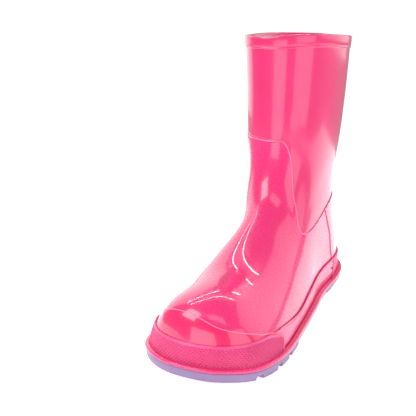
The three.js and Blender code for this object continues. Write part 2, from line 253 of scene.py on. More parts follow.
    @staticmethod
    def _weights(part: np.ndarray, slope: bool) -> list[np.ndarray]:
        """Weights of four control points in a row, or of their slope.

        Args:
            part: place between the two middle points, 0 to 1.
            slope: whether the slope is asked for.

        Returns:
            Four weights.
        """
        if slope:
            return [-(1 - part) ** 2 / 2, (3 * part ** 2 - 4 * part) / 2,
                    (-3 * part ** 2 + 2 * part + 1) / 2, part ** 2 / 2]
        return [(1 - part) ** 3 / 6, (3 * part ** 3 - 6 * part ** 2 + 4) / 6,
                (-3 * part ** 3 + 3 * part ** 2 + 3 * part + 1) / 6, part ** 3 / 6]

    def _blend(self, column: np.ndarray, row: np.ndarray, along: bool, upward: bool) -> np.ndarray:
        """Point of the surface, or its slope.

        Args:
            column: the columns.
            row: the rows.
            along: gives the slope along the columns.
            upward: gives the slope up the rows.

        Returns:
            A point or a slope for each place.
        """
        column, row = np.broadcast_arrays(np.asarray(column, float), np.asarray(row, float))
        row = row * PARTS
        j = np.floor(column).astype(int)
        i = np.clip(np.floor(row).astype(int), 0, ROW_RIM * PARTS - 1)
        wide = self._weights(column - j, along)
        tall = self._weights(row - i, upward)
        total = np.zeros(column.shape + (3,))
        for a in range(4):
            for b in range(4):
                weight = (tall[a] * wide[b])[..., None]
                total += weight * self.control[i + a, np.mod(j + b - 1, COLUMNS)]
        return total

    def normal(self, column: np.ndarray, row: np.ndarray) -> np.ndarray:
        """Outward direction, level at the sole's edge."""
        n = np.cross(self._blend(column, row, True, False), self._blend(column, row, False, True))
        row = np.broadcast_to(np.asarray(row, float), n.shape[:-1])
        n[..., 2] *= 0.15 + 0.85 * ramp(row, 0, 1.4)
        return n / np.linalg.norm(n, axis=-1)[..., None]

    def at(self, column: np.ndarray, row: np.ndarray, depth: np.ndarray = 0.0) -> np.ndarray:
        """Point at a column and row, a depth outward in millimetres."""
        place = self._blend(column, row, False, False)
        depth = np.broadcast_to(np.asarray(depth, float), place.shape[:-1])
        return place + self.normal(column, row) * depth[..., None] * MM

    def edge(self, column: np.ndarray, reach: np.ndarray, rise: np.ndarray) -> np.ndarray:
        """Point beside the upper's lower edge: reach outward and rise upward, in millimetres."""
        column, reach, rise = np.broadcast_arrays(*(np.asarray(k, float) for k in (column, reach, rise)))
        n = self.normal(column, np.zeros(column.shape))
        n[..., 2] = 0
        n /= np.linalg.norm(n, axis=-1)[..., None]
        place = self._blend(column, np.zeros(column.shape), False, False) + n * reach[..., None] * MM
        place[..., 2] += rise * MM
        return place

    def lengths(self, row: float, start: float, end: float,
                count: int = 600) -> tuple[np.ndarray, np.ndarray]:
        """Columns between two ends and the run of a row to each.

        Args:
            row: the row.
            start: first column.
            end: last column.
            count: how many columns.

        Returns:
            The columns, and the run to each in millimetres.
        """
        columns = np.linspace(start, end, count)
        points = self.at(columns, np.full(count, row))
        steps = np.linalg.norm(np.diff(points, axis=0), axis=1) / MM
        return columns, np.concatenate([[0], np.cumsum(steps)])


# ------------------------------------------------------------------ modelling by hand
def clear_selection() -> None:
    """Nothing selected, and object mode."""
    if bpy.context.object and bpy.context.object.mode != "OBJECT":
        bpy.ops.object.mode_set(mode="OBJECT")
    bpy.ops.object.select_all(action="DESELECT")


def take(obj: bpy.types.Object) -> None:
    """Selects one object and makes it active."""
    clear_selection()
    obj.select_set(True)
    bpy.context.view_layer.objects.active = obj


def edit(obj: bpy.types.Object, *steps: Callable[[], object]) -> None:
    """Runs operators in edit mode on the whole mesh.

    Args:
        obj: the object to edit.
        steps: calls of the operators, in order.
    """
    take(obj)
    bpy.ops.object.mode_set(mode="EDIT")
    bpy.ops.mesh.select_all(action="SELECT")
    for step in steps:
        step()
    bpy.ops.object.mode_set(mode="OBJECT")


def apply(obj: bpy.types.Object, kind: str, **values: object) -> None:
    """Adds a modifier with its values and applies it."""
    take(obj)
    modifier = obj.modifiers.new(kind.lower(), kind)
    for name, value in values.items():
        setattr(modifier, name, value)
    bpy.ops.object.modifier_apply(modifier=modifier.name)


def places(obj: bpy.types.Object) -> np.ndarray:
    """Vertex places of a mesh, one per row."""
    flat = np.zeros(len(obj.data.vertices) * 3)
    obj.data.vertices.foreach_get("co", flat)
    return flat.reshape(-1, 3)


def place(obj: bpy.types.Object, points: np.ndarray) -> None:
    """Moves the vertices of a mesh."""
    obj.data.vertices.foreach_set("co", np.ascontiguousarray(points, dtype=np.float32).ravel())
    obj.data.update()


def weld() -> None:
    """Merges doubled vertices and turns the faces outward."""
    bpy.ops.mesh.remove_doubles(threshold=0.004 * MM)
    bpy.ops.mesh.normals_make_consistent(inside=False)


def grid(name: str, cells: tuple[int, int], mapping: Mapping) -> bpy.types.Object:
    """A grid laid over a surface.

    Args:
        name: name of the piece.
        cells: cells across and up.
        mapping: gives the points for the grid's two fractions, each 0 to 1.

    Returns:
        The new object.
    """
    clear_selection()
    bpy.ops.mesh.primitive_grid_add(x_subdivisions=cells[0], y_subdivisions=cells[1], size=1)
    obj = bpy.context.object
    obj.name = obj.data.name = name
    flat = places(obj) + 0.5
    place(obj, mapping(np.clip(flat[:, 0], 0, 1), np.clip(flat[:, 1], 0, 1)))
    return obj


def join(obj: bpy.types.Object, *others: bpy.types.Object) -> None:
    """Joins other objects into one."""
    take(obj)
    for other in others:
        other.select_set(True)
    bpy.ops.object.join()


def finish_piece(obj: bpy.types.Object, body: Body, slot: Slot, material: bpy.types.Material,
                 *nodes: str, angle: float = 38) -> bpy.types.Object:
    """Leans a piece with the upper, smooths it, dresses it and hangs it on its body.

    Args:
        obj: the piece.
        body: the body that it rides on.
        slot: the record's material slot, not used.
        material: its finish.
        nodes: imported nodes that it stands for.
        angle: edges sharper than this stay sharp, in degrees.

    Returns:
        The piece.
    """
    place(obj, tilt(places(obj), PITCH))
    take(obj)
    bpy.ops.object.shade_smooth_by_angle(angle=math.radians(angle))
    obj.data.materials.clear()
    obj.data.materials.append(material)
    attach(obj, body.value)
    if nodes:
        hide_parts(*nodes)
    log.info("%s: %d faces", obj.name, len(obj.data.polygons))
    return obj


# ------------------------------------------------------------------ finishes
def colour(red: float, green: float, blue: float) -> tuple[float, float, float, float]:
    """Scene-linear colour from a screen colour of 0 to 255."""
    def linear(part: float) -> float:
        part /= 255
        return part / 12.92 if part <= 0.04045 else ((part + 0.055) / 1.055) ** 2.4
    return (linear(red), linear(green), linear(blue), 1.0)


class Sheet:
    """A node tree being filled: adds nodes and joins their sockets."""

    def __init__(self, tree: bpy.types.NodeTree) -> None:
        """Keeps the tree to fill."""
        self.tree = tree

    def add(self, kind: str, inputs: dict | None = None, **settings: object) -> bpy.types.Node:
        """Adds a node.

        Args:
            kind: the node's type.
            inputs: values or sockets for its inputs, by name or number.
            settings: its own properties.

        Returns:
            The node.
        """
        node = self.tree.nodes.new(kind)
        for name, value in settings.items():
            setattr(node, name, value)
        for name, value in (inputs or {}).items():
            if isinstance(value, bpy.types.NodeSocket):
                self.tree.links.new(value, node.inputs[name])
            else:
                node.inputs[name].default_value = value
        return node

    def math(self, operation: str, *values: object) -> bpy.types.NodeSocket:
        """A sum, product or other operation on values or sockets."""
        return self.add("ShaderNodeMath", dict(enumerate(values)), operation=operation).outputs[0]

    def blend(self, factor: object, first: object, second: object) -> bpy.types.NodeSocket:
        """A mix of two colours."""
        return self.add("ShaderNodeMix", {0: factor, 6: first, 7: second}, data_type="RGBA").outputs[2]

    def spread(self, value: object, *limits: object) -> bpy.types.NodeSocket:
        """A value taken from one range to another, held inside it."""
        return self.add("ShaderNodeMapRange", dict(enumerate([value, *limits]))).outputs[0]


def group(name: str, inputs: dict[str, tuple[str, object]], outputs: dict[str, str],
          fill: Callable[[Sheet, bpy.types.Node], dict[str, object]]) -> bpy.types.NodeTree:
    """A shader node group with named sockets, built once.

    Args:
        name: name of the group.
        inputs: socket kind and first value of each input.
        outputs: socket kind of each output.
        fill: adds the nodes, and gives the socket for each output.

    Returns:
        The group.
    """
    if name in bpy.data.node_groups:
        return bpy.data.node_groups[name]
    tree = bpy.data.node_groups.new(name, "ShaderNodeTree")
    for title, (kind, value) in inputs.items():
        socket = tree.interface.new_socket(title, in_out="INPUT", socket_type="NodeSocket" + kind)
        if value is not None:
            socket.default_value = value
    for title, kind in outputs.items():
        tree.interface.new_socket(title, in_out="OUTPUT", socket_type="NodeSocket" + kind)
    sheet = Sheet(tree)
    results = fill(sheet, tree.nodes.new("NodeGroupInput"))
    end = tree.nodes.new("NodeGroupOutput")
    for title, socket in results.items():
        tree.links.new(socket, end.inputs[title])
    return tree


def grain_group() -> bpy.types.NodeTree:
    """Skin of moulded rubber: a slow waviness, a fine grain, and stray dust specks."""
    def fill(s: Sheet, start: bpy.types.Node) -> dict[str, object]:
        """Adds the noises."""
        vector = start.outputs["Vector"]
        wave = s.add("ShaderNodeTexNoise", {"Vector": vector, "Scale": start.outputs["Wave"],
                                            "Detail": 2.0})
        fine = s.add("ShaderNodeTexNoise", {"Vector": vector, "Scale": start.outputs["Fine"],
                                            "Detail": 3.0, "Roughness": 0.6})
        dots = s.add("ShaderNodeTexVoronoi", {"Vector": vector, "Scale": start.outputs["Specks"]})
        rare = s.add("ShaderNodeTexNoise", {"Vector": vector, "Scale": 90.0, "Detail": 1.0})
        speck = s.math("MULTIPLY", s.spread(dots.outputs["Distance"], 0.10, 0.17, 1.0, 0.0),
                       s.spread(rare.outputs["Fac"], 0.68, 0.74, 0.0, 1.0))
        height = s.math("ADD", wave.outputs["Fac"],
                        s.math("MULTIPLY", fine.outputs["Fac"], start.outputs["Share"]))
        return {"Height": height, "Tone": wave.outputs["Fac"], "Grain": fine.outputs["Fac"],
                "Dust": speck}
    return group("rubber_skin",
                 {"Vector": ("Vector", None), "Wave": ("Float", 40.0), "Fine": ("Float", 900.0),
                  "Specks": ("Float", 420.0), "Share": ("Float", 0.1)},
                 {"Height": "Float", "Tone": "Float", "Grain": "Float", "Dust": "Float"}, fill)


def wear_group() -> bpy.types.NodeTree:
    """Wear and dirt near the ground: 1 at the ground, fading upward, broken by noise."""
    def fill(s: Sheet, start: bpy.types.Node) -> dict[str, object]:
        """Adds the fade."""
        vector = start.outputs["Vector"]
        height = s.add("ShaderNodeSeparateXYZ", {0: vector}).outputs["Z"]
        patch = s.add("ShaderNodeTexNoise", {"Vector": vector, "Scale": 160.0, "Detail": 4.0})
        fade = s.spread(height, 0.0, start.outputs["Top"], 1.0, 0.0)
        broken = s.spread(patch.outputs["Fac"], 0.35, 0.7, 0.1, 1.0)
        return {"Mask": s.math("MULTIPLY", fade, broken)}
    return group("ground_wear", {"Vector": ("Vector", None), "Top": ("Float", 0.01)},
                 {"Mask": "Float"}, fill)


def knit_group() -> bpy.types.NodeTree:
    """Plain knit: rows of V-shaped stitches from a piece's own UV map."""
    def fill(s: Sheet, start: bpy.types.Node) -> dict[str, object]:
        """Adds the two legs of each stitch."""
        parts = s.add("ShaderNodeSeparateXYZ", {0: start.outputs["Vector"]})
        across = s.math("MULTIPLY", parts.outputs["X"], start.outputs["Wales"])
        upward = s.math("MULTIPLY", parts.outputs["Y"], start.outputs["Courses"])
        leg = s.math("PINGPONG", across, 0.5)
        lean = s.math("ADD", upward, s.math("MULTIPLY", leg, 1.5))
        row = s.math("PINGPONG", lean, 0.5)
        body = s.math("MULTIPLY", s.math("SINE", s.math("MULTIPLY", row, math.pi)),
                      s.math("SINE", s.math("MULTIPLY", s.math("PINGPONG", across, 0.25), 2 * math.pi)))
        return {"Height": body}
    return group("knit_stitch",
                 {"Vector": ("Vector", None), "Wales": ("Float", 200.0), "Courses": ("Float", 140.0)},
                 {"Height": "Float"}, fill)


@dataclass(frozen=True)
class Rubber:
    """Moulded rubber or soft plastic.

    Args:
        name: name of the material.
        base: its colour.
        deep: the colour of its slow darker patches, and the painted shade in the grooves where raised
            places are marked.
        rough: roughness of the body.
        coat: weight of the glossy lacquer.
        coat_rough: roughness of the lacquer.
        wave: depth of the slow waviness, in millimetres.
        fine: share of the fine grain in the relief.
        dirt: how much the ground marks it.
        lit_crest: name of an attribute that is 1 on raised places, which are paler, and 0 in the grooves,
            which take the deep colour as painted shade; or nothing.
    """

    name: str
    base: tuple[float, float, float, float]
    deep: tuple[float, float, float, float]
    rough: float = 0.3
    coat: float = 0.0
    coat_rough: float = 0.05
    wave: float = 0.05
    fine: float = 0.08
    dirt: float = 0.0
    lit_crest: str = ""

    def build(self) -> bpy.types.Material:
        """Makes the material."""
        material = bpy.data.materials.new(self.name)
        material.use_nodes = True
        s = Sheet(material.node_tree)
        shader = material.node_tree.nodes["Principled BSDF"]
        vector = s.add("ShaderNodeTexCoord").outputs["Object"]
        skin = s.add("ShaderNodeGroup", node_tree=grain_group())
        wear = s.add("ShaderNodeGroup", node_tree=wear_group())
        for node in (skin, wear):
            s.tree.links.new(vector, node.inputs["Vector"])
        skin.inputs["Share"].default_value = self.fine
        wear.inputs["Top"].default_value = 0.012
        tone = s.blend(s.spread(skin.outputs["Tone"], 0.3, 0.7, 0.0, 1.0), self.base, self.deep)
        # Painted shade: places that the attribute marks as grooves take the deep colour.
        if self.lit_crest:
            raised = s.add("ShaderNodeAttribute", attribute_name=self.lit_crest).outputs["Fac"]
            tone = s.blend(raised, self.deep, tone)
        dusty = s.blend(s.math("MULTIPLY", skin.outputs["Dust"], 0.5), tone, colour(150, 12, 60))
        worn = s.blend(s.math("MULTIPLY", wear.outputs["Mask"], self.dirt), dusty, colour(118, 104, 112))
        s.tree.links.new(worn, shader.inputs["Base Color"])
        grainy = s.spread(skin.outputs["Grain"], 0.3, 0.7, self.rough * 0.85, min(1.0, self.rough * 1.2))
        rough = s.math("ADD", grainy, s.math("MULTIPLY", skin.outputs["Dust"], 0.15))
        s.tree.links.new(rough, shader.inputs["Roughness"])
        bump = s.add("ShaderNodeBump", {"Strength": 1.0, "Distance": self.wave * MM,
                                        "Height": skin.outputs["Height"]})
        s.tree.links.new(bump.outputs["Normal"], shader.inputs["Normal"])
        shader.inputs["Coat Weight"].default_value = self.coat
        shader.inputs["Coat Roughness"].default_value = self.coat_rough
        shader.inputs["IOR"].default_value = 1.5
        return material


@dataclass(frozen=True)
class Cloth:
    """Knitted or pressed cloth that follows a piece's own UV map.

    Args:
        name: name of the material.
        base: colour of the yarn.
        shade: colour between the stitches.
        wales: stitches across the UV map.
        courses: stitches up the UV map.
        relief: height of a stitch, in millimetres.
    """

    name: str
    base: tuple[float, float, float, float]
    shade: tuple[float, float, float, float]
    wales: float
    courses: float
    relief: float = 0.25

    def build(self) -> bpy.types.Material:
        """Makes the material."""
        material = bpy.data.materials.new(self.name)
        material.use_nodes = True
        s = Sheet(material.node_tree)
        shader = material.node_tree.nodes["Principled BSDF"]
        coordinates = s.add("ShaderNodeTexCoord")
        stitch = s.add("ShaderNodeGroup", node_tree=knit_group())
        s.tree.links.new(coordinates.outputs["UV"], stitch.inputs["Vector"])
        stitch.inputs["Wales"].default_value = self.wales
        stitch.inputs["Courses"].default_value = self.courses
        fuzz = s.add("ShaderNodeTexNoise", {"Vector": coordinates.outputs["Object"], "Scale": 1400.0,
                                            "Detail": 3.0})
        lit = s.spread(stitch.outputs["Height"], 0.0, 0.8, 0.0, 1.0)
        s.tree.links.new(s.blend(lit, self.shade, self.base), shader.inputs["Base Color"])
        height = s.math("ADD", stitch.outputs["Height"], s.math("MULTIPLY", fuzz.outputs["Fac"], 0.5))
        bump = s.add("ShaderNodeBump", {"Strength": 0.9, "Distance": self.relief * MM, "Height": height})
        s.tree.links.new(bump.outputs["Normal"], shader.inputs["Normal"])
        s.tree.links.new(s.spread(fuzz.outputs["Fac"], 0.3, 0.7, 0.8, 1.0), shader.inputs["Roughness"])
        shader.inputs["Sheen Weight"].default_value = 0.35
        return material


@dataclass(frozen=True)
class Fibre:
    """Pressed board, foam or rubbered cloth, from noise in the object's own space.

    Args:
        name: name of the material.
        base: its colour.
        shade: the colour of its flecks and pores.
        scale: cells per metre.
        relief: depth of the relief, in millimetres.
        rough: its roughness.
    """

    name: str
    base: tuple[float, float, float, float]
    shade: tuple[float, float, float, float]
    scale: float
    relief: float = 0.1
    rough: float = 0.9

    def build(self) -> bpy.types.Material:
        """Makes the material."""
        material = bpy.data.materials.new(self.name)
        material.use_nodes = True
        s = Sheet(material.node_tree)
        shader = material.node_tree.nodes["Principled BSDF"]
        vector = s.add("ShaderNodeTexCoord").outputs["Object"]
        pores = s.add("ShaderNodeTexVoronoi", {"Vector": vector, "Scale": self.scale})
        cloud = s.add("ShaderNodeTexNoise", {"Vector": vector, "Scale": self.scale / 6, "Detail": 4.0})
        mask = s.math("MULTIPLY", s.spread(pores.outputs["Distance"], 0.1, 0.5, 1.0, 0.0),
                      s.spread(cloud.outputs["Fac"], 0.35, 0.65, 0.2, 1.0))
        s.tree.links.new(s.blend(mask, self.base, self.shade), shader.inputs["Base Color"])
        bump = s.add("ShaderNodeBump", {"Strength": 0.8, "Distance": self.relief * MM,
                                        "Height": pores.outputs["Distance"]})
        s.tree.links.new(bump.outputs["Normal"], shader.inputs["Normal"])
        rough = s.spread(cloud.outputs["Fac"], 0.3, 0.7, self.rough - 0.1, min(1.0, self.rough + 0.1))
        s.tree.links.new(rough, shader.inputs["Roughness"])
        return material


class Finishes:
    """Every finish of the boot, each made once."""

    def __init__(self) -> None:
        """Makes the materials."""
        self.gloss = Rubber("shaft_gloss", colour(238, 40, 118), colour(232, 34, 110), rough=0.34, coat=1.0,
                            coat_rough=0.12, wave=0.10, fine=0.02).build()
        self.vamp = Rubber("vamp_gloss", colour(246, 44, 124), colour(241, 38, 116), rough=0.28, coat=1.0,
                           coat_rough=0.03, wave=0.10, fine=0.02).build()
        self.cap = Rubber("cap_gloss", colour(240, 32, 108), colour(234, 26, 100), rough=0.24, coat=1.0,
                          coat_rough=0.03, wave=0.08, fine=0.02).build()
        self.strip = Rubber("strip_gloss", colour(246, 52, 130), colour(241, 46, 124), rough=0.3, coat=0.8,
                            coat_rough=0.1, wave=0.05, fine=0.05, dirt=0.15).build()
        # Paler pink of the thin raised edge lines: a painted highlight along their rounded tops.
        self.edge = Rubber("edge_painted_highlight", colour(252, 128, 178), colour(250, 116, 168), rough=0.35, coat=0.8,
                           coat_rough=0.2, wave=0.03, fine=0.02).build()
        self.matte = Rubber("bumper_matte", colour(246, 78, 146), colour(242, 68, 136), rough=0.5, coat=0.2,
                            coat_rough=0.35, wave=0.03, fine=0.15, dirt=0.2).build()
        # The knurl's deep colour is painted shade in its grooves, as well as its slow darker patches.
        self.knurl = Rubber("bumper_knurl", colour(250, 96, 158), colour(222, 46, 118), rough=0.45,
                            coat=0.3, coat_rough=0.3, wave=0.02, fine=0.1, dirt=0.15,
                            lit_crest=LIT_CREST).build()
        self.seam = Rubber("seam_gloss", colour(228, 24, 98), colour(220, 18, 90), rough=0.3, coat=0.8,
                           coat_rough=0.1, wave=0.03, fine=0.05).build()
        self.mark = Rubber("seam_mark", colour(150, 10, 50), colour(130, 8, 44), rough=0.5).build()
        self.sole = Rubber("sole_satin", colour(152, 126, 172), colour(142, 116, 162), rough=0.42, coat=0.2,
                           coat_rough=0.3, wave=0.04, fine=0.15, dirt=0.25).build()
        self.knit = Cloth("lining_knit", colour(240, 236, 238), colour(196, 188, 196), 210, 150).build()
        self.thread = Fibre("overlock_thread", colour(244, 240, 242), colour(206, 198, 206), 2600,
                            0.06).build()
        self.footbed = Cloth("footbed_knit", colour(236, 232, 236), colour(190, 184, 196), 60, 150).build()
        self.foam = Fibre("footbed_foam", colour(222, 216, 228), colour(176, 168, 188), 1500, 0.12).build()
        self.board = Fibre("insole_board", colour(186, 166, 138), colour(150, 128, 100), 900, 0.08).build()
        self.stiff = Fibre("stiffener_cloth", colour(146, 142, 150), colour(112, 108, 118), 1100,
                           0.1).build()


# ------------------------------------------------------------------ upper
@dataclass
class Upper:
    """Leg, foot piece, toe cap and heel stay, with the seams between them. Sizes in millimetres."""

    last: Last
    looks: Finishes
    wall: float = 2.2
    lap: float = 0.45
    foot: float = 0.03            # row of the pieces' lower edges
    gap: float = 0.03             # columns between two pieces that meet
    stay_line: tuple[tuple[float, ...], ...] = (
        (0.0, 1.7, 5.3, 9.1, 10.0), (16.3, 16.55, 16.05, 15.0, 14.75))
    cap_rise: float = 0.95
    cap_end: float = 4.9
    seam_width: float = 1.1
    seam_height: float = 0.5
    seam_root: float = 0.25       # how deep the seam line sits in the wall
    column_width: float = 8.4     # of the net, at the heel stay
    foxing_depth: float = 1.3
    soften: float = 0.22

    def panel(self, name: str, cells: tuple[int, int], columns: tuple[Line, Line], low: Line,
              high: Line, depth: Mapping, wall: float, soften: float) -> bpy.types.Object:
        """A walled piece over part of the upper.

        Args:
            name: name of the piece.
            cells: cells along and up.
            columns: first and last column, by row.
            low: lower edge as a row, by column.
            high: upper edge as a row, by column.
            depth: outer face's depth by column and row.
            wall: thickness inward.
            soften: radius of the edges.

        Returns:
            The new object.
        """
        def mapping(a: np.ndarray, b: np.ndarray) -> np.ndarray:
            """Lays the grid's fractions between the edges."""
            middle = (columns[0](ROW_CAP) + columns[1](ROW_CAP)) / 2 + 0 * a
            row = low(middle) + (high(middle) - low(middle)) * b
            column = columns[0](row) * (1 - a) + columns[1](row) * a
            row = low(column) + (high(column) - low(column)) * b
            return self.last.at(column, row, depth(column, row))
        obj = grid(name, cells, mapping)
        if columns[1](ROW_CAP) - columns[0](ROW_CAP) >= COLUMNS:
            edit(obj, lambda: bpy.ops.mesh.remove_doubles(threshold=0.004 * MM))
        apply(obj, "SOLIDIFY", thickness=wall * MM, offset=-1.0, use_even_offset=False)
        if soften:
            apply(obj, "BEVEL", width=soften * MM, segments=3, limit_method="ANGLE",
                  angle_limit=math.radians(EDGE_ANGLE))
        return obj

    @staticmethod
    def level(value: float) -> Line:
        """An edge along one row or one column."""
        return lambda other: np.full(np.shape(other), float(value))

    @staticmethod
    def even(depth: float) -> Mapping:
        """The same depth at every column and row."""
        return lambda column, row: np.full(column.shape, depth)

    def stay(self, shift: float = 0.0, side: int = 1) -> Line:
        """Column of the heel stay's seam by row, moved towards the heel, on the outer or inner side."""
        return lambda row: side * (np.interp(row, *self.stay_line) + shift)

    def behind(self, shift: float) -> tuple[Line, Line]:
        """The two edges of a piece round the heel, a shift behind the seams."""
        return self.stay(shift), lambda row: COLUMNS - self.stay(shift)(row)

    def cap_top(self, column: np.ndarray) -> np.ndarray:
        """Upper edge of the toe cap: high at the middle, down to the bumper at its ends."""
        part = ramp(np.abs(column), 2.9, self.cap_end)
        return ROW_CAP + (1.85 - ROW_CAP) * part

    def build(self) -> None:
        """Builds and dresses the upper."""
        looks, lap = self.looks, self.lap
        bare = self.panel("leg_wall", (264, 54), (self.level(0), self.level(COLUMNS)),
                          self.level(ROW_OVERLAY + 0.01), self.level(ROW_BAND + 0.4),
                          self.even(0.0), self.wall, self.soften)
        finish_piece(bare, Body.BOOT, Slot.GLOSS, looks.gloss, "shaft")
        front = (self.stay(-self.gap, -1), self.stay(-self.gap))
        for name, cells, edges, finish, node in (
                ("foot_wall", (200, 110), front, looks.vamp, "vamp"),
                ("heel_wall", (72, 80), self.behind(self.gap), looks.gloss, "heel_stay")):
            piece = self.panel(name, cells, edges, self.level(self.foot), self.level(ROW_OVERLAY),
                               self.even(lap), self.wall + lap, self.soften)
            finish_piece(piece, Body.BOOT, Slot.GLOSS, finish, node)
        ends = (self.level(-self.cap_end), self.level(self.cap_end))
        cap = self.panel("cap_shell", (150, 24), ends, self.level(1.6), self.cap_top,
                         self.even(self.cap_rise), self.cap_rise - lap - 0.02, 0.2)
        finish_piece(cap, Body.BOOT, Slot.GLOSS, looks.cap, "toe_cap")
        for side, name in ((1, "stay_seam_outer"), (-1, "stay_seam_inner")):
            finish_piece(self.seam(name, side), Body.BOOT, Slot.GLOSS, looks.seam)
        # Thin round beads along the overlay, cap and foxing lines, in the pale edge finish that paints
        # their highlight.
        foxing_top = self.level(ROW_FOXING - 0.03)
        for name, columns, rows, depth, radius in (
                ("overlay_edge", (0, COLUMNS), self.level(ROW_OVERLAY), lap - 0.12, 0.34),
                ("cap_edge", (-self.cap_end, self.cap_end), self.cap_top, self.cap_rise - 0.2, 0.32),
                ("foxing_edge_outer", (5.3, 16.5), foxing_top, self.foxing_depth - 0.05, 0.36),
                ("foxing_edge_inner", (-16.5, -5.3), foxing_top, self.foxing_depth - 0.05, 0.36)):
            finish_piece(self.line(name, columns, rows, depth, radius), Body.BOOT, Slot.GLOSS, looks.edge)
        finish_piece(self.dot("seam_mark", 16.15, 1.15, 1.5, 0.55), Body.BOOT, Slot.GLOSS, looks.mark)
        finish_piece(self.dot("bumper_nub", -3.6, 0.75, 1.75, 0.6), Body.BOOT, Slot.MATTE, looks.matte)

    def line(self, name: str, columns: tuple[float, float], rows: Line, depth: float,
             radius: float) -> bpy.types.Object:
        """A thin round edge along the upper.

        Args:
            name: name of the piece.
            columns: first and last column.
            rows: row of the line, by column.
            depth: depth of its middle.
            radius: its radius.

        Returns:
            The new object.
        """
        step = 0.02

        def mapping(a: np.ndarray, b: np.ndarray) -> np.ndarray:
            """Round section swept along the line."""
            column = columns[0] + (columns[1] - columns[0]) * a
            middle, ahead, behind = (self.last.at(k, rows(k), depth)
                                     for k in (column, column + step, column - step))
            outward = self.last.normal(column, rows(column))
            along = ahead - behind
            along /= np.linalg.norm(along, axis=-1)[..., None]
            beside = np.cross(along, outward)
            turn = (b * 2 * math.pi)[..., None]
            return middle + (outward * np.cos(turn) + beside * np.sin(turn)) * radius * MM
        obj = grid(name, (int((columns[1] - columns[0]) * 10), 8), mapping)
        edit(obj, weld)
        return obj

    def dot(self, name: str, column: float, row: float, depth: float, radius: float) -> bpy.types.Object:
        """A small round lump on the upper, at a column, a row and a depth, of a radius in millimetres."""
        clear_selection()
        bpy.ops.mesh.primitive_uv_sphere_add(segments=16, ring_count=10, radius=radius * MM)
        obj = bpy.context.object
        obj.name = obj.data.name = name
        place(obj, places(obj) + self.last.at(np.array([column]), np.array([row]), depth))
        return obj

    def seam(self, name: str, side: int) -> bpy.types.Object:
        """A raised line up the heel stay's seam, over the foxing and the wall."""
        wide = self.seam_width / 2 / self.column_width

        start = 0.05

        def mapping(a: np.ndarray, b: np.ndarray) -> np.ndarray:
            """Section across, row upward."""
            turn = (a - 0.5) * math.pi
            row = start + (ROW_OVERLAY - start) * b
            base = self.lap + (self.foxing_depth - self.lap) * (1 - ramp(row, 1.95, 2.12))
            lift = (self.seam_height + self.seam_root) * np.cos(turn) - self.seam_root
            return self.last.at(side * (self.stay()(row) + wide * np.sin(side * turn)), row, base + lift)
        obj = grid(name, (8, 150), mapping)
        apply(obj, "SOLIDIFY", thickness=self.seam_root * MM, offset=-1.0)
        return obj


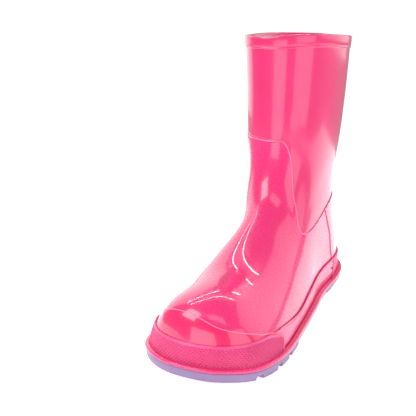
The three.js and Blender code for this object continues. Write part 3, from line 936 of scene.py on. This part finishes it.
# ------------------------------------------------------------------ strips at the sole and the rim
@dataclass
class Strips:
    """Toe bumper, foxing, welt bead and rim strip. Sizes in millimetres."""

    upper: Upper
    bumper_end: float = 5.75
    bumper_depth: float = 1.75
    knurl: float = 2.0
    knurl_height: float = 0.5
    border: float = 1.5
    bumper_cells: tuple[int, int] = (640, 58)
    bumper_corner: float = 6.5    # radius of its round ends
    bumper_drop: float = 0.22     # share by which its ends are lower
    stay_gap: float = 0.05        # columns between the foxing and the seam
    bead_middle: float = 2.7      # how far the bead's middle is from the upper
    bead_reach: float = 1.75
    bead_rise: float = 1.08

    def build(self) -> None:
        """Builds and dresses the strips."""
        looks = self.upper.looks
        finish_piece(self.bumper(), Body.BOOT, Slot.MATTE, looks.knurl, "toe_bumper", angle=60)
        upper, gap = self.upper, self.stay_gap
        for name, edges, slot, finish, node in (
                ("foxing_strip_outer", (upper.level(3.7), upper.stay(-gap)), Slot.GLOSS, looks.strip,
                 "foxing_outer"),
                ("foxing_strip_inner", (upper.stay(-gap, -1), upper.level(-3.7)), Slot.GLOSS, looks.strip,
                 "foxing_inner"),
                ("foxing_strip_heel", upper.behind(gap), Slot.MATTE, looks.matte, "foxing_heel")):
            finish_piece(self.foxing(name, edges), Body.BOOT, slot, finish, node)
        finish_piece(self.bead(), Body.BOOT, Slot.GLOSS, looks.vamp, "welt_bead")
        finish_piece(self.band(), Body.BOOT, Slot.GLOSS, looks.gloss, "rim_band")

    def bumper(self) -> bpy.types.Object:
        """The knurled strip round the toe, with a plain border and round ends."""
        last = self.upper.last
        end = self.bumper_end
        columns, run = last.lengths(1.0, -end, end)
        half = run[-1] / 2
        levels = np.linspace(0.03, ROW_FOXING, 41)
        net = last.at(columns[:, None], levels[None, :])
        rise = np.concatenate([np.zeros((len(columns), 1)),
                               np.cumsum(np.linalg.norm(np.diff(net, axis=1), axis=2) / MM, axis=1)], 1)

        lit_crest = np.zeros((self.bumper_cells[0] + 1) * (self.bumper_cells[1] + 1))

        def mapping(a: np.ndarray, b: np.ndarray) -> np.ndarray:
            """Lays the pattern out by length along and height up."""
            along = a * run[-1]
            column = np.interp(along, run, columns)
            k = np.interp(along, run, np.arange(len(columns)))
            lower = np.clip(k.astype(int), 0, len(columns) - 2)
            part = (k - lower)[:, None]
            heights = rise[lower] * (1 - part) + rise[lower + 1] * part
            tall = heights[:, -1]
            inside = half - np.abs(along - half)
            corner = np.clip(1 - inside / self.bumper_corner, 0, 1)
            top = tall * (1 - self.bumper_drop * ramp(np.abs(column), 3.7, 5.4))
            top = top - self.bumper_corner * (1 - np.sqrt(np.clip(1 - corner ** 2, 0, 1)))
            top = np.maximum(top, 3.0)
            up = b * top
            row = np.array([np.interp(u, h, levels) for u, h in zip(up, heights)])
            first = np.mod((along - half + up) / self.knurl, 1)
            second = np.mod((along - half - up) / self.knurl, 1)
            groove = np.minimum(np.minimum(first, 1 - first), np.minimum(second, 1 - second))
            block = ramp(groove, 0.10, 0.36)
            margin = np.minimum(np.minimum(top - up, inside), up + 0.9)
            plain = ramp(margin, self.border - 0.15, self.border + 0.2)
            # 1 on the raised diamonds and the plain border, 0 in the grooves, which the knurl finish paints
            # with shade.
            lit_crest[:] = np.maximum(block, 1 - plain)
            lift = self.knurl_height * (block * plain + (1 - plain) * 0.9)
            over = 0.4 * ramp(np.abs(column), 3.2, 4.0)
            return last.at(column, row, self.bumper_depth - self.knurl_height + lift + over)
        obj = grid("bumper_strip", self.bumper_cells, mapping)
        obj.data.attributes.new(LIT_CREST, "FLOAT", "POINT").data.foreach_set("value", lit_crest)
        apply(obj, "SOLIDIFY", thickness=0.75 * MM, offset=-1.0)
        return obj

    def foxing(self, name: str, edges: tuple[Line, Line]) -> bpy.types.Object:
        """A strip along the side of the sole, with a raised top line and a shallow groove.

        Args:
            name: name of the piece.
            edges: its first and last column, by row.

        Returns:
            The new object.
        """
        out = self.upper.foxing_depth

        def depth(column: np.ndarray, row: np.ndarray) -> np.ndarray:
            """Outer face: bead at the top, groove at the middle."""
            bead = 0.35 * np.exp(-((row - 1.86) / 0.07) ** 2)
            middle = 0.25 + 0.35 * ramp(away(column), 7.5, 12.0)
            step = 0.3 * ramp(row, middle - 0.05, middle + 0.05) - 0.3
            return out + bead + step
        return self.upper.panel(name, (150, 46), edges, self.upper.level(self.upper.foot),
                                self.upper.level(ROW_FOXING - 0.02), depth, out - 0.5, 0.2)

    def bead(self) -> bpy.types.Object:
        """The round welt bead between the upper and the outsole."""
        last = self.upper.last

        def mapping(a: np.ndarray, b: np.ndarray) -> np.ndarray:
            """Round section swept along the edge."""
            turn = b * 2 * math.pi
            c, s = np.cos(turn), np.sin(turn)
            reach = self.bead_middle + self.bead_reach * np.sign(c) * np.abs(c) ** 0.8
            rise = self.bead_rise * np.sign(s) * np.abs(s) ** 0.8
            return last.edge(a * COLUMNS, reach, rise)
        obj = grid("welt", (352, 20), mapping)
        edit(obj, weld)
        return obj

    def band(self) -> bpy.types.Object:
        """The strip round the rim, with a rounded lip and a fine line at its lower edge."""
        last = self.upper.last
        section = [(0.0, -0.02), (0.4, -0.02), (0.6, 0.0), (0.66, 0.03), (0.66, 0.07), (0.52, 0.1),
                   (0.45, 0.12), (0.5, 0.145), (0.62, 0.2), (0.68, 0.4), (0.7, 0.6), (0.68, 0.78),
                   (0.58, 0.88), (0.35, 0.955), (0.0, 0.99), (-0.5, 1.0), (-1.05, 0.99), (-1.5, 0.96),
                   (-1.85, 0.9), (-2.1, 0.8), (-2.2, 0.65), (-2.2, 0.4), (-2.15, 0.3), (-1.2, 0.3),
                   (-0.2, 0.3), (0.02, 0.28), (0.02, 0.1), (0.0, -0.02)]
        marks = np.linspace(0, 1, len(section))
        depths, levels = np.array(section).T

        def mapping(a: np.ndarray, b: np.ndarray) -> np.ndarray:
            """Section swept round the rim."""
            depth = np.interp(b, marks, depths)
            return last.at(a * COLUMNS, ROW_BAND + np.interp(b, marks, levels), depth)
        obj = grid("rim_strip", (308, len(section) - 1), mapping)
        edit(obj, weld)
        return obj


# ------------------------------------------------------------------ sole
@dataclass
class Sole:
    """Outsole plate with lugs. Sizes in millimetres, heights from the upper's lower edge."""

    last: Last
    looks: Finishes
    reach: float = 3.9
    top: float = -1.08
    under: float = -3.1
    fore_inset: float = 0.5
    heel_inset: float = 3.0
    fore: tuple[float, float] = (-125.0, -39.2)
    heel: tuple[float, float] = (48.8, 125.0)
    fore_grooves: tuple[float, ...] = (-88.2, -71.2, -56.2)
    heel_grooves: tuple[float, ...] = (60.8, 72.8, 84.8)
    fore_groove: float = 4.4
    heel_groove: float = 3.0
    notch: float = -2.0
    lug_edge: float = 0.45
    half_width: float = 60.0      # more than half the sole's width
    channel: tuple[float, float, float] = (3.2, -100.2, -38.2)
    bend: float = -78.7
    spring: float = 0.0461
    points: int = 264

    def slab(self, name: str, reach: float, top: float, bottom: float | None) -> bpy.types.Object:
        """A plate with the sole's outline, down to a height or to the ground.

        Args:
            name: name of the object.
            reach: how far it stands out from the upper.
            top: its upper face.
            bottom: its lower face, or None for the ground.

        Returns:
            The new object.
        """
        clear_selection()
        bpy.ops.mesh.primitive_circle_add(vertices=self.points, radius=1, fill_type="NGON")
        obj = bpy.context.object
        obj.name = obj.data.name = name
        ring = places(obj)
        column = np.arctan2(ring[:, 0], -ring[:, 1]) / (2 * math.pi) * COLUMNS
        outline = self.last.edge(column, reach, 0.0)
        level = self.last.net[0, :, 2].min()
        outline[:, 2] = level + top * MM
        place(obj, outline)
        down = {"value": (0, 0, -10 * MM)}
        edit(obj, lambda: bpy.ops.mesh.extrude_region_move(TRANSFORM_OT_translate=down),
             lambda: bpy.ops.mesh.select_all(action="SELECT"),
             lambda: bpy.ops.mesh.normals_make_consistent(inside=False))
        corners = places(obj)
        lower = corners[:, 2] < level + (top - 5) * MM
        if bottom is None:
            corners[lower, 2] = self.ground(corners[lower, 1])
        else:
            corners[lower, 2] = level + bottom * MM
        place(obj, corners)
        return obj

    def ground(self, y: np.ndarray) -> np.ndarray:
        """Height of the tread's underside: the ground, rising towards the toe."""
        flat = -y * math.tan(PITCH)
        return flat + np.maximum(self.bend * MM - y, 0) * math.tan(self.spring)

    def cut(self, obj: bpy.types.Object, boxes: list[tuple[float, float, float, float]],
            top: float = 20.0) -> None:
        """Cuts upright boxes away from an object.

        Args:
            obj: the object.
            boxes: x from, x to, y from, y to of each box.
            top: height of their upper faces.
        """
        for x0, x1, y0, y1 in boxes:
            clear_selection()
            bpy.ops.mesh.primitive_cube_add(size=1, location=(
                (x0 + x1) / 2 * MM, (y0 + y1) / 2 * MM, (top - 20) / 2 * MM),
                scale=((x1 - x0) * MM, (y1 - y0) * MM, (top + 20) * MM))
            tool = bpy.context.object
            apply(obj, "BOOLEAN", operation="DIFFERENCE", object=tool, solver="EXACT")
            bpy.data.objects.remove(tool)

    def lugs(self, name: str, inset: float, span: tuple[float, float], grooves: tuple[float, ...],
             groove: float, channel: bool) -> bpy.types.Object:
        """One field of lugs with softened edges.

        Args:
            name: name of the object.
            inset: how far it stands back from the outsole's edge.
            span: where it starts and ends along the sole.
            grooves: middles of the grooves across it.
            groove: their width.
            channel: whether a channel runs along it.

        Returns:
            The new object.
        """
        field_body = self.slab(name, self.reach - inset, self.under + 0.3, None)
        wide = self.half_width
        boxes = [(-wide, wide, -200.0, span[0]), (-wide, wide, span[1], 200.0)]
        boxes += [(-wide, wide, y - groove / 2, y + groove / 2) for y in grooves]
        if channel:
            width, start, end = self.channel
            boxes.append((-width / 2 - 0.3, width / 2 - 0.3, start, end))
        self.cut(field_body, boxes)
        apply(field_body, "BEVEL", width=self.lug_edge * MM, segments=2, limit_method="ANGLE",
              angle_limit=math.radians(EDGE_ANGLE))
        return field_body

    def sidewall(self) -> bpy.types.Object:
        """The rand of the outsole: a closed ring whose upper edge rises with the upper."""
        level = self.last.net[0, :, 2].min() / MM
        section = np.array([(-9.0, 0.0), (-1.2, 0.0), (-0.4, 0.06), (-0.06, 0.28), (0.0, 0.5), (0.0, 0.8),
                            (-0.12, 0.94), (-0.45, 1.0), (-4.5, 1.0), (-9.0, 1.0), (-9.0, 0.0)])
        marks = np.linspace(0, 1, len(section))

        def mapping(a: np.ndarray, b: np.ndarray) -> np.ndarray:
            """Section swept along the edge."""
            step = np.interp(b, marks, section[:, 0])
            share = np.interp(b, marks, section[:, 1])
            point = self.last.edge(a * COLUMNS, self.reach + step, self.top)
            low = (level + self.under) * MM
            point[:, 2] = low + (point[:, 2] - low) * share
            return point
        obj = grid("sole_tread", (self.points, len(section) - 1), mapping)
        edit(obj, weld)
        return obj

    def build(self) -> None:
        """Builds and dresses the outsole."""
        plate = self.sidewall()
        web = self.slab("web", self.reach - 7.0, self.under + 1.5, self.under)
        half, wide = self.fore_groove / 2, self.half_width
        notches = [(-wide, wide, y - half, y + half) for y in self.fore_grooves]
        for body in (plate, web):
            self.cut(body, notches, self.last.net[0, :, 2].min() / MM + self.notch)
        join(plate, web)
        fore = self.lugs("fore", self.fore_inset, self.fore, self.fore_grooves, self.fore_groove, True)
        heel = self.lugs("heel", self.heel_inset, self.heel, self.heel_grooves, self.heel_groove, False)
        join(plate, fore, heel)
        finish_piece(plate, Body.BOOT, Slot.SOLE, self.looks.sole, "outsole")


# ------------------------------------------------------------------ inside
@dataclass
class Inside:
    """Lining, its overlock edge, and the loose footbed. Sizes in millimetres."""

    last: Last
    looks: Finishes
    lining_depth: float = -2.52
    step: float = 1.0
    wall: float = 0.75
    top: float = 15.72
    reach: float = -3.6
    pattern: tuple[float, float] = (0.330, 0.215)   # flat size of the lining, in metres

    def depth(self, column: np.ndarray, row: np.ndarray) -> np.ndarray:
        """Depth of the lining's outer face, further in over the toe puff and the heel counter."""
        side = away(column)
        toe = (1 - ramp(side, 7.2, 8.6)) * (1 - ramp(row, 5.2, 6.6))
        heel = ramp(side, 13.4, 14.8) * (1 - ramp(row, 6.2, 7.6))
        return self.lining_depth - self.step * np.maximum(toe, heel)

    def build(self) -> None:
        """Builds and dresses the inside."""
        lining = self.lining()
        finish_piece(lining, Body.BOOT, Slot.KNIT, self.looks.knit, "lining")
        finish_piece(self.overlock(), Body.BOOT, Slot.KNIT, self.looks.thread)
        foam = self.pad("footbed_pad", -3.4, 2.1, 6.1, 0.6)
        finish_piece(foam, Body.FOOTBED, Slot.FOAM, self.looks.foam, "footbed_foam")
        cover = self.pad("footbed_textile", -4.1, 6.4, 7.2, 0.6)
        finish_piece(cover, Body.FOOTBED, Slot.KNIT, self.looks.footbed, "footbed_cover")

    def lining(self) -> bpy.types.Object:
        """The knitted sock behind the wall, open at the top and at the board."""
        def mapping(a: np.ndarray, b: np.ndarray) -> np.ndarray:
            """Lays the knit over the inside, with a wavy cut edge at the top."""
            column = a * COLUMNS
            row = 0.05 + (self.top - 0.05) * b
            ripple = 0.12 * ramp(row, 13, 15.7) * np.sin(column * 2 * math.pi * 1.5) \
                + 0.1 * np.sin(column * 1.7 + row * 1.3) * np.sin(row * 2.1)
            return self.last.at(column, row, self.depth(column, row) + np.minimum(ripple, 0.0))
        obj = grid("lining_knit", (308, 150), mapping)
        edit(obj, lambda: bpy.ops.mesh.remove_doubles(threshold=0.004 * MM))
        apply(obj, "SOLIDIFY", thickness=self.wall * MM, offset=-1.0)
        return obj

    def overlock(self) -> bpy.types.Object:
        """The zigzag thread over the lining's top edge."""
        turns = 88

        def mapping(a: np.ndarray, b: np.ndarray) -> np.ndarray:
            """A thin round thread that zigzags below the edge."""
            column = a * COLUMNS
            swing = np.abs(np.mod(a * turns, 1) * 2 - 1)
            row = self.top - 0.02 - 0.24 * swing
            turn = b * 2 * math.pi
            depth = self.lining_depth - self.wall - 0.22 + 0.3 * np.cos(turn)
            return self.last.at(column, row + 0.042 * np.sin(turn), depth)
        obj = grid("lining_overlock", (turns * 8, 7), mapping)
        edit(obj, weld)
        return obj

    def pad(self, name: str, reach: float, low: float, high: float, crown: float) -> bpy.types.Object:
        """A sole-shaped pad with softened edges and a shallow dish, built as rings about its middle.

        Args:
            name: name of the piece.
            reach: how far its rim is from the footbed's outline, negative inward.
            low: height of its underside.
            high: height of its top.
            crown: depth of the dish.

        Returns:
            The new object.
        """
        level = self.last.net[0, :, 2].min()
        round_off = 0.15 * (high - low)
        section = np.array([(0.0, low), (0.5, low), (0.97, low), (0.995, low + round_off),
                            (1.0, (low + high) / 2), (0.995, high - round_off), (0.97, high),
                            (0.85, high), (0.5, high), (0.0, high)])
        marks = np.linspace(0, 1, len(section))

        def mapping(a: np.ndarray, b: np.ndarray) -> np.ndarray:
            """Rings from the middle line to the rim and back."""
            rim = self.last.edge(a * COLUMNS, self.reach + reach, 0.0)
            middle = rim * 0
            middle[:, 1] = np.clip(rim[:, 1], -78 * MM, 70 * MM) * 0.92
            part = np.interp(b, marks, section[:, 0])
            rise = np.interp(b, marks, section[:, 1])
            point = middle + (rim - middle) * part[:, None]
            dish = np.where(b > 0.5, crown * (part ** 3 - 1), 0) * 0.6
            front = np.interp(point[:, 1], [-0.102, -0.09, -0.075, -0.06, -0.04, 0.05, 0.1],
                              [2.6, 1.9, 1.15, 0.55, 0.0, 0.1, 0.55])
            point[:, 2] = level + (rise + dish + front) * MM
            return point
        obj = grid(name, (132, 36), mapping)
        edit(obj, weld)
        return obj


# ------------------------------------------------------------------ studio
@dataclass(frozen=True)
class Card:
    """A soft light panel that stands round the boot and faces it.

    Args:
        name: its name.
        azimuth: where it stands, in degrees from the toe's side towards the outer side.
        distance: how far from the boot's middle, level, in metres.
        height: height of its middle, in metres.
        width: its width, in metres.
        tall: its height, in metres.
        glow: its brightness, where white is 1.
        aim: height of the place on the boot that it faces, in metres.
    """

    name: str
    azimuth: float
    distance: float
    height: float
    width: float
    tall: float
    glow: float
    aim: float = 0.08

    def build(self) -> None:
        """Makes the lamp."""
        data = bpy.data.lights.new(self.name, "AREA")
        data.shape = "RECTANGLE"
        data.size, data.size_y = self.width, self.tall
        data.energy = self.glow * math.pi * self.width * self.tall
        lamp = bpy.data.objects.new(self.name, data)
        turn = math.radians(self.azimuth)
        lamp.location = (self.distance * math.sin(turn), -self.distance * math.cos(turn), self.height)
        lean = math.atan2(self.height - self.aim, self.distance)
        lamp.rotation_euler = (math.pi / 2 - lean, 0, turn)
        lamp.visible_camera = False
        bpy.context.scene.collection.objects.link(lamp)


@dataclass
class Studio:
    """Pale floor, soft light and the camera. Places in metres."""

    eye: tuple[float, float, float] = (0.1565, -0.38488, 0.17037)
    azimuth: float = 27.230
    elevation: float = 13.862
    lens: float = 58.858
    dim: float = 0.3
    white: float = 1.1
    floor_size: float = 1.1
    floor_glow: float = 0.62
    cards: tuple[Card, ...] = (
        Card("key", -38, 1.4, 1.25, 1.0, 1.0, 4.6),
        Card("right_back", 138, 0.95, 0.5, 1.3, 0.9, 0.95),
        Card("right_front", 66, 0.8, 0.25, 0.8, 0.5, 1.5),
        Card("left_back", -122, 0.9, 0.4, 0.8, 0.8, 1.0),
        Card("window", -4, 0.62, 0.06, 0.38, 0.2, 2.0),
        Card("bar_low", -150, 0.48, 0.8, 1.3, 0.014, 34.0),
        Card("bar_high", -150, 0.28, 0.95, 1.3, 0.014, 34.0),
        Card("top", 30, 0.9, 1.3, 0.8, 0.35, 1.6),
    )

    def build(self) -> None:
        """Builds the camera, the floor and the lights."""
        self.camera()
        self.floor()
        self.world()
        for card in self.cards:
            card.build()
        bpy.context.scene.view_settings.view_transform = "Standard"

    def world(self) -> None:
        """White behind the boot, dim in its gloss."""
        world = bpy.data.worlds.new("studio")
        bpy.context.scene.world = world
        world.use_nodes = True
        s = Sheet(world.node_tree)
        seen = s.add("ShaderNodeLightPath").outputs["Is Camera Ray"]
        background = world.node_tree.nodes["Background"]
        background.inputs["Color"].default_value = (1, 1, 1, 1)
        s.tree.links.new(s.spread(seen, 0.0, 1.0, self.dim, self.white), background.inputs["Strength"])

    def camera(self) -> None:
        """The camera, level and turned to the boot."""
        data = bpy.data.cameras.new("camera")
        data.lens = self.lens
        data.sensor_width = 36
        data.clip_start = 0.01
        camera = bpy.data.objects.new("camera", data)
        camera.location = self.eye
        camera.rotation_euler = (math.radians(90 - self.elevation), 0, math.radians(self.azimuth))
        bpy.context.scene.collection.objects.link(camera)
        bpy.context.scene.camera = camera

    def floor(self) -> None:
        """A wide pale floor."""
        clear_selection()
        bpy.ops.mesh.primitive_plane_add(size=self.floor_size)
        floor = bpy.context.object
        floor.name = "floor"
        material = bpy.data.materials.new("floor_paint")
        material.use_nodes = True
        shader = material.node_tree.nodes["Principled BSDF"]
        shader.inputs["Base Color"].default_value = (0.95, 0.95, 0.95, 1)
        shader.inputs["Roughness"].default_value = 0.7
        shader.inputs["Specular IOR Level"].default_value = 0.1
        shader.inputs["Emission Color"].default_value = (1, 1, 1, 1)
        shader.inputs["Emission Strength"].default_value = self.floor_glow
        floor.data.materials.append(material)


def dress_hidden_nodes(looks: Finishes) -> None:
    """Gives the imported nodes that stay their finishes."""
    for node, material in (("insole_board", looks.board), ("toe_puff", looks.stiff),
                           ("heel_counter", looks.stiff), ("sole_filler", looks.foam)):
        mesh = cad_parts[node].data
        mesh.materials.clear()
        mesh.materials.append(material)


def main() -> None:
    """Builds the boot in order, from the camera to the loose footbed."""
    logging.basicConfig(level=logging.INFO, format="%(name)s %(message)s")
    Studio().build()
    last = Last()
    log.info("net %s", last.net.shape)
    looks = Finishes()
    upper = Upper(last, looks)
    upper.build()
    Strips(upper).build()
    Sole(last, looks).build()
    Inside(last, looks).build()
    dress_hidden_nodes(looks)
    clear_selection()


if __name__ == "__main__":
    main()
